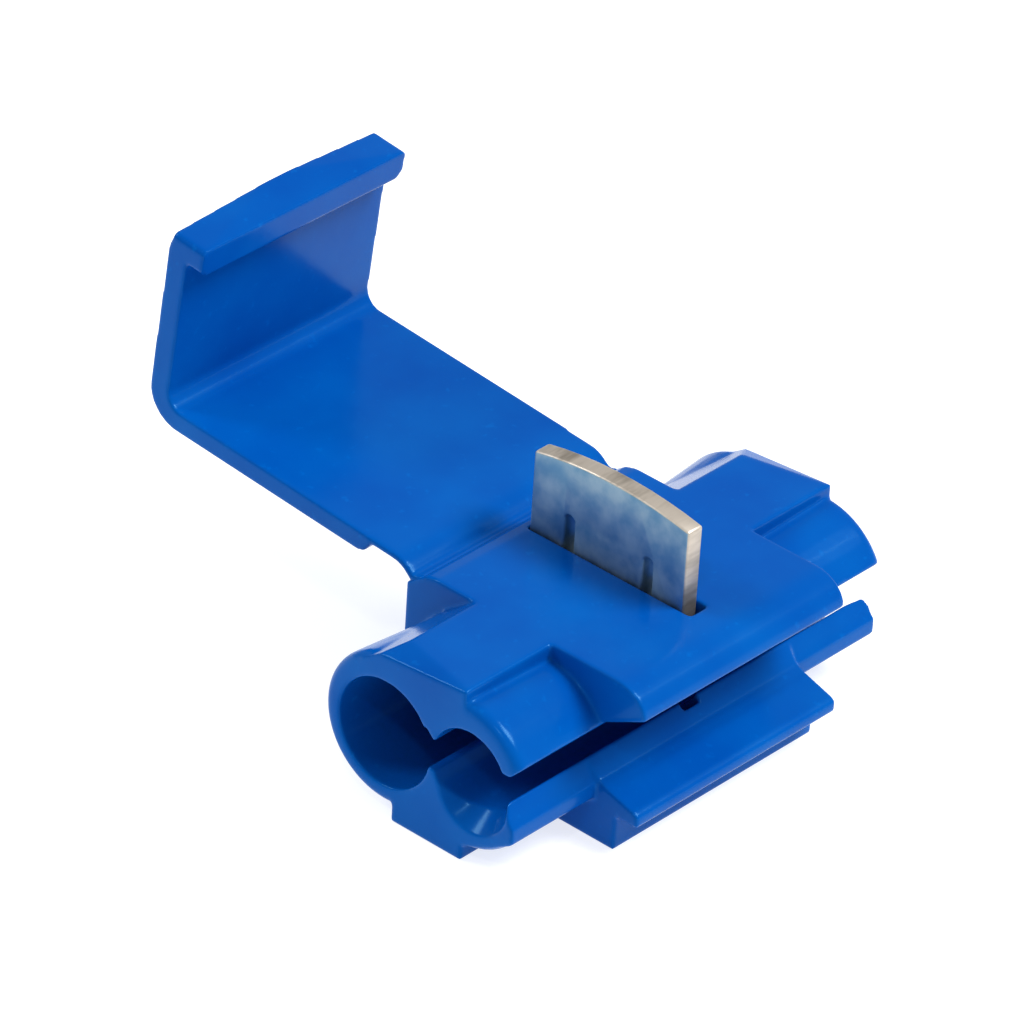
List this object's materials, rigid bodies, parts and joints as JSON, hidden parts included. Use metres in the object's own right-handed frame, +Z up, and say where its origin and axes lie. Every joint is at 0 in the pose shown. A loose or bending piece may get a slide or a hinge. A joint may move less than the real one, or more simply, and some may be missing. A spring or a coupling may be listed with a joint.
{
  "type": "t-tap connector",
  "caption": "Quick-splice tap connector: moulded housing with two wire channels, a hinged cover with a latch lip and a flat contact blade standing ready to be pressed.",
  "frame": {"origin": "on the underside, halfway along the wires under the contact blade and halfway between the two channels", "axes": "+X along the wires to the tap channel's closed end, +Y towards the hinge and open cover, +Z up"},
  "size_m": [0.02, 0.0248, 0.016],
  "materials": {
    "housing_blue": "moulded polypropylene, semi-gloss",
    "contact_metal": "tin-plated brass, satin, with bare brass at the sheared edges"
  },
  "bodies": {
    "housing": {"body": "housing_blue", "hinge_strap": "housing_blue"},
    "cover": {"cover": "housing_blue"},
    "blade": {"contact_blade": "contact_metal"}
  },
  "joints": [
    {"name": "cover_hinge", "type": "hinge", "parent": "housing", "child": "cover", "pos_m": [0, 0.00535, 0.00729], "axis": [1, 0, 0], "range_deg": [0, 175.4], "stiffness_Nm_per_rad": 0.003, "deforming": ["hinge_strap"]},
    {"name": "blade_press", "type": "slide", "parent": "housing", "child": "blade", "axis": [0, 0, -1], "range_m": [0, 0.0037]}
  ],
  "couplings": [
    {"joint": "cover_hinge", "follows": "blade_press", "rad_per_m": 827.38}
  ]
}
